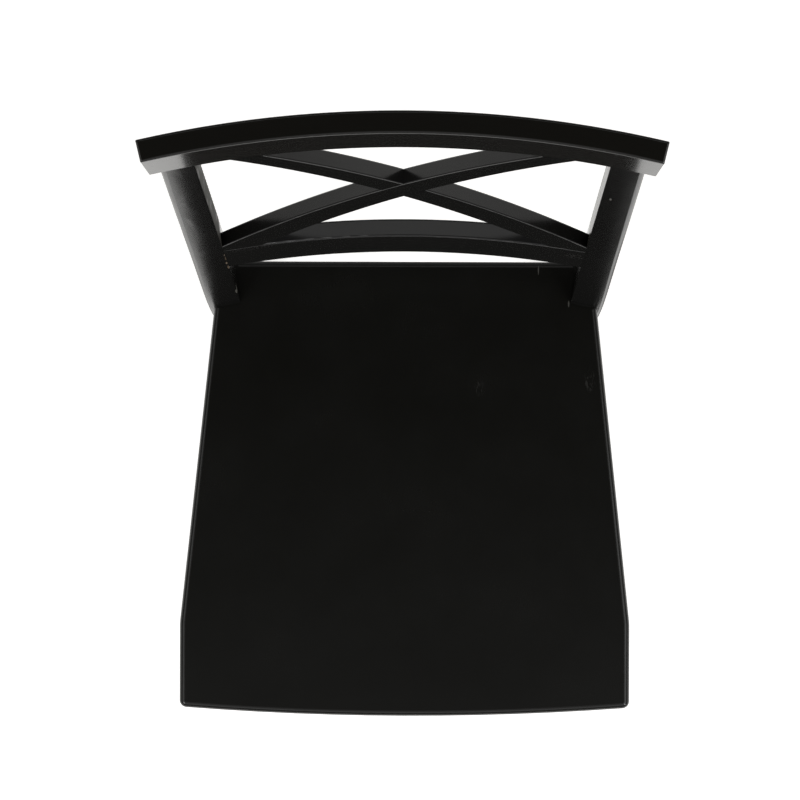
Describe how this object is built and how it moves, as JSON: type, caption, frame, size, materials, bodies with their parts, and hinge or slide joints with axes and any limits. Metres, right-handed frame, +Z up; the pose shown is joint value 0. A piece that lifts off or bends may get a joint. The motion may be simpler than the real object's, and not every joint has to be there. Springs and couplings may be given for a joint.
{
  "type": "cross back chair",
  "caption": "Black lacquered wooden side chair with a flat seat, raked posts, a bowed crest rail, a curved X brace and a bowed lower back rail.",
  "frame": {"origin": "on the floor under the middle of the chair's box", "axes": "+Z up, -Y towards the front edge of the seat, +X to the right of someone looking at the chair from the front"},
  "size_m": [0.44, 0.533, 0.915],
  "materials": {
    "black_lacquer": "black satin-gloss lacquer over faintly showing wood grain",
    "seat_lacquer": "black satin lacquer, a little more worn and dusty than the frame",
    "raw_hardwood": "unfinished beech",
    "zinc_steel": "zinc plated steel",
    "glide_plastic": "black nylon"
  },
  "bodies": {
    "root": {"seat_panel": "seat_lacquer", "rear_post_left": "black_lacquer", "rear_post_right": "black_lacquer", "front_leg_left": "black_lacquer", "front_leg_right": "black_lacquer", "crest_rail": "black_lacquer", "cross_brace_rising": "black_lacquer", "cross_brace_falling": "black_lacquer", "lower_back_rail": "black_lacquer", "front_apron": "black_lacquer", "rear_apron": "black_lacquer", "side_apron_left": "black_lacquer", "side_apron_right": "black_lacquer", "side_stretcher_left": "black_lacquer", "side_stretcher_right": "black_lacquer", "centre_stretcher": "black_lacquer", "corner_block_front_left": "raw_hardwood", "corner_block_front_right": "raw_hardwood", "corner_block_rear_left": "raw_hardwood", "corner_block_rear_right": "raw_hardwood", "crest_dowels": "raw_hardwood", "brace_dowels": "raw_hardwood", "apron_dowels": "raw_hardwood", "corner_bolts": "zinc_steel", "seat_screws": "zinc_steel", "floor_glide_front_left": "glide_plastic", "floor_glide_front_right": "glide_plastic", "floor_glide_rear_left": "glide_plastic", "floor_glide_rear_right": "glide_plastic"}
  },
  "joints": []
}
